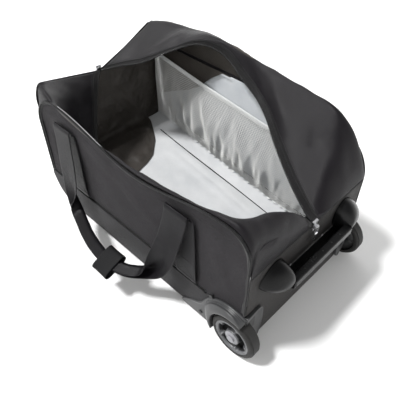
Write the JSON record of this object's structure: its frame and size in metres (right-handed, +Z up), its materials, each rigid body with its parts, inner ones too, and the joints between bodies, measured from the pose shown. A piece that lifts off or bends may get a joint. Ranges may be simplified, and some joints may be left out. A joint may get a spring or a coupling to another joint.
{
  "type": "rolling duffel bag",
  "caption": "Wheeled duffel bag with an open zipped mouth, lined inside, carry straps, a telescoping trolley handle, a moulded grab handle and skid feet.",
  "frame": {"origin": "bottom centre of the bounding box, on the floor under the bag", "axes": "+X along the bag towards the wheel end, +Y away from the near carry handle, +Z up"},
  "size_m": [0.59, 0.4928, 0.3462],
  "materials": {
    "shell_fabric": "heathered charcoal polyester",
    "plate_fabric": "smooth coated charcoal cloth",
    "skirt_fabric": "smooth coated grey cloth",
    "zip_tape": "black coil zip",
    "piping": "black corded piping",
    "lining_fabric": "silver-white coated lining",
    "dark_lining": "dark grey lining",
    "net": "light grey knitted net",
    "webbing": "charcoal woven webbing",
    "wrap_cloth": "ribbed hook-and-loop cloth",
    "zip_metal": "bright nickel plate",
    "housing_plastic": "grained grey",
    "steel": "plain",
    "gloss_black": "glossy moulded",
    "black_plastic": "fine grain",
    "button_plastic": "smooth",
    "tube_aluminium": "satin anodised",
    "tyre": "smooth rubber",
    "rim_plastic": "silver grey, scuffed"
  },
  "bodies": {
    "bag": {"near_side_panel": "shell_fabric", "far_side_panel": "shell_fabric", "handle_end_panel": "shell_fabric", "wheel_end_panel": "shell_fabric", "near_gusset": "shell_fabric", "far_gusset": "shell_fabric", "wheel_end_plate": "plate_fabric", "base_cloth": "plate_fabric", "near_skirt": "skirt_fabric", "far_skirt": "skirt_fabric", "handle_end_skirt": "skirt_fabric", "near_zip_chain": "zip_tape", "far_zip_chain": "zip_tape", "near_piping": "piping", "far_piping": "piping", "near_wall_lining": "lining_fabric", "far_wall_lining": "lining_fabric", "floor_pad": "lining_fabric", "handle_end_lining": "dark_lining", "mesh_pocket": "net", "mesh_hem": "net", "near_webbing": "webbing", "far_webbing": "webbing", "handle_end_slider": "zip_metal", "wheel_end_slider": "zip_metal", "near_wheel_housing": "housing_plastic", "far_wheel_housing": "housing_plastic", "near_axle": "steel", "far_axle": "steel", "axle_nuts": "steel", "housing_screws": "steel", "grab_handle_rivets": "steel", "grab_handle": "gloss_black", "base_board": "black_plastic", "skid_feet": "black_plastic", "trolley_bezel": "black_plastic", "tube_foot": "black_plastic", "outer_tubes": "tube_aluminium"},
    "near_wheel": {"near_tyre": "tyre", "near_rim": "rim_plastic", "near_bearings": "steel"},
    "far_wheel": {"far_tyre": "tyre", "far_rim": "rim_plastic", "far_bearings": "steel"},
    "near_handle": {"near_handle_strap": "webbing", "near_handle_wrap": "wrap_cloth"},
    "far_handle": {"far_handle_strap": "webbing"},
    "middle_stage": {"middle_tubes": "tube_aluminium", "middle_collars": "black_plastic"},
    "inner_stage": {"inner_tubes": "tube_aluminium", "trolley_grip": "black_plastic", "inner_plugs": "black_plastic"},
    "release_button": {"grip_button": "button_plastic", "push_rods": "steel"},
    "near_pin": {"near_lock_pin": "steel"},
    "far_pin": {"far_lock_pin": "steel"},
    "wheel_end_link": {"wheel_end_pull_link": "zip_metal"},
    "wheel_end_tab": {"wheel_end_pull_tab": "zip_metal"},
    "handle_end_link": {"handle_end_pull_link": "zip_metal"},
    "handle_end_tab": {"handle_end_pull_tab": "zip_metal"}
  },
  "joints": [
    {"name": "near_wheel_spin", "type": "hinge", "parent": "bag", "child": "near_wheel", "pos_m": [0.247, -0.158, 0.045], "axis": [0, 1, 0], "continuous": true},
    {"name": "far_wheel_spin", "type": "hinge", "parent": "bag", "child": "far_wheel", "pos_m": [0.247, 0.158, 0.045], "axis": [0, 1, 0], "continuous": true},
    {"name": "trolley_stage_1", "type": "slide", "parent": "bag", "child": "middle_stage", "axis": [-1, 0, 0], "range_m": [0, 0.25]},
    {"name": "trolley_stage_2", "type": "slide", "parent": "middle_stage", "child": "inner_stage", "axis": [-1, 0, 0], "range_m": [0, 0.25]},
    {"name": "release_press", "type": "slide", "parent": "inner_stage", "child": "release_button", "axis": [1, 0, 0], "range_m": [0, 0.0035], "stiffness_N_per_m": 500, "springref_m": -0.003},
    {"name": "near_pin_slide", "type": "slide", "parent": "inner_stage", "child": "near_pin", "axis": [0, 1, 0], "range_m": [0, 0.002]},
    {"name": "far_pin_slide", "type": "slide", "parent": "inner_stage", "child": "far_pin", "axis": [0, -1, 0], "range_m": [0, 0.002]},
    {"name": "near_handle_swing", "type": "hinge", "parent": "bag", "child": "near_handle", "pos_m": [-0.034, -0.1605, 0.241], "axis": [-1, 0, 0], "range_deg": [0, 165]},
    {"name": "far_handle_swing", "type": "hinge", "parent": "bag", "child": "far_handle", "pos_m": [-0.034, 0.1605, 0.241], "axis": [1, 0, 0], "range_deg": [0, 165]},
    {"name": "wheel_end_link_swing", "type": "hinge", "parent": "bag", "child": "wheel_end_link", "pos_m": [0.2675, 0, 0.198], "axis": [0, -1, 0], "range_deg": [-5, 150]},
    {"name": "wheel_end_tab_swing", "type": "hinge", "parent": "wheel_end_link", "child": "wheel_end_tab", "pos_m": [0.2675, 0, 0.184], "axis": [0, -1, 0], "range_deg": [-5, 100]},
    {"name": "handle_end_link_swing", "type": "hinge", "parent": "bag", "child": "handle_end_link", "pos_m": [-0.2915, 0, 0.257], "axis": [0, 1, 0], "range_deg": [-5, 150]},
    {"name": "handle_end_tab_swing", "type": "hinge", "parent": "handle_end_link", "child": "handle_end_tab", "pos_m": [-0.2915, 0, 0.243], "axis": [0, 1, 0], "range_deg": [-5, 100]}
  ],
  "couplings": [
    {"joint": "near_pin_slide", "follows": "release_press", "ratio": 0.5},
    {"joint": "far_pin_slide", "follows": "release_press", "ratio": 0.5}
  ]
}
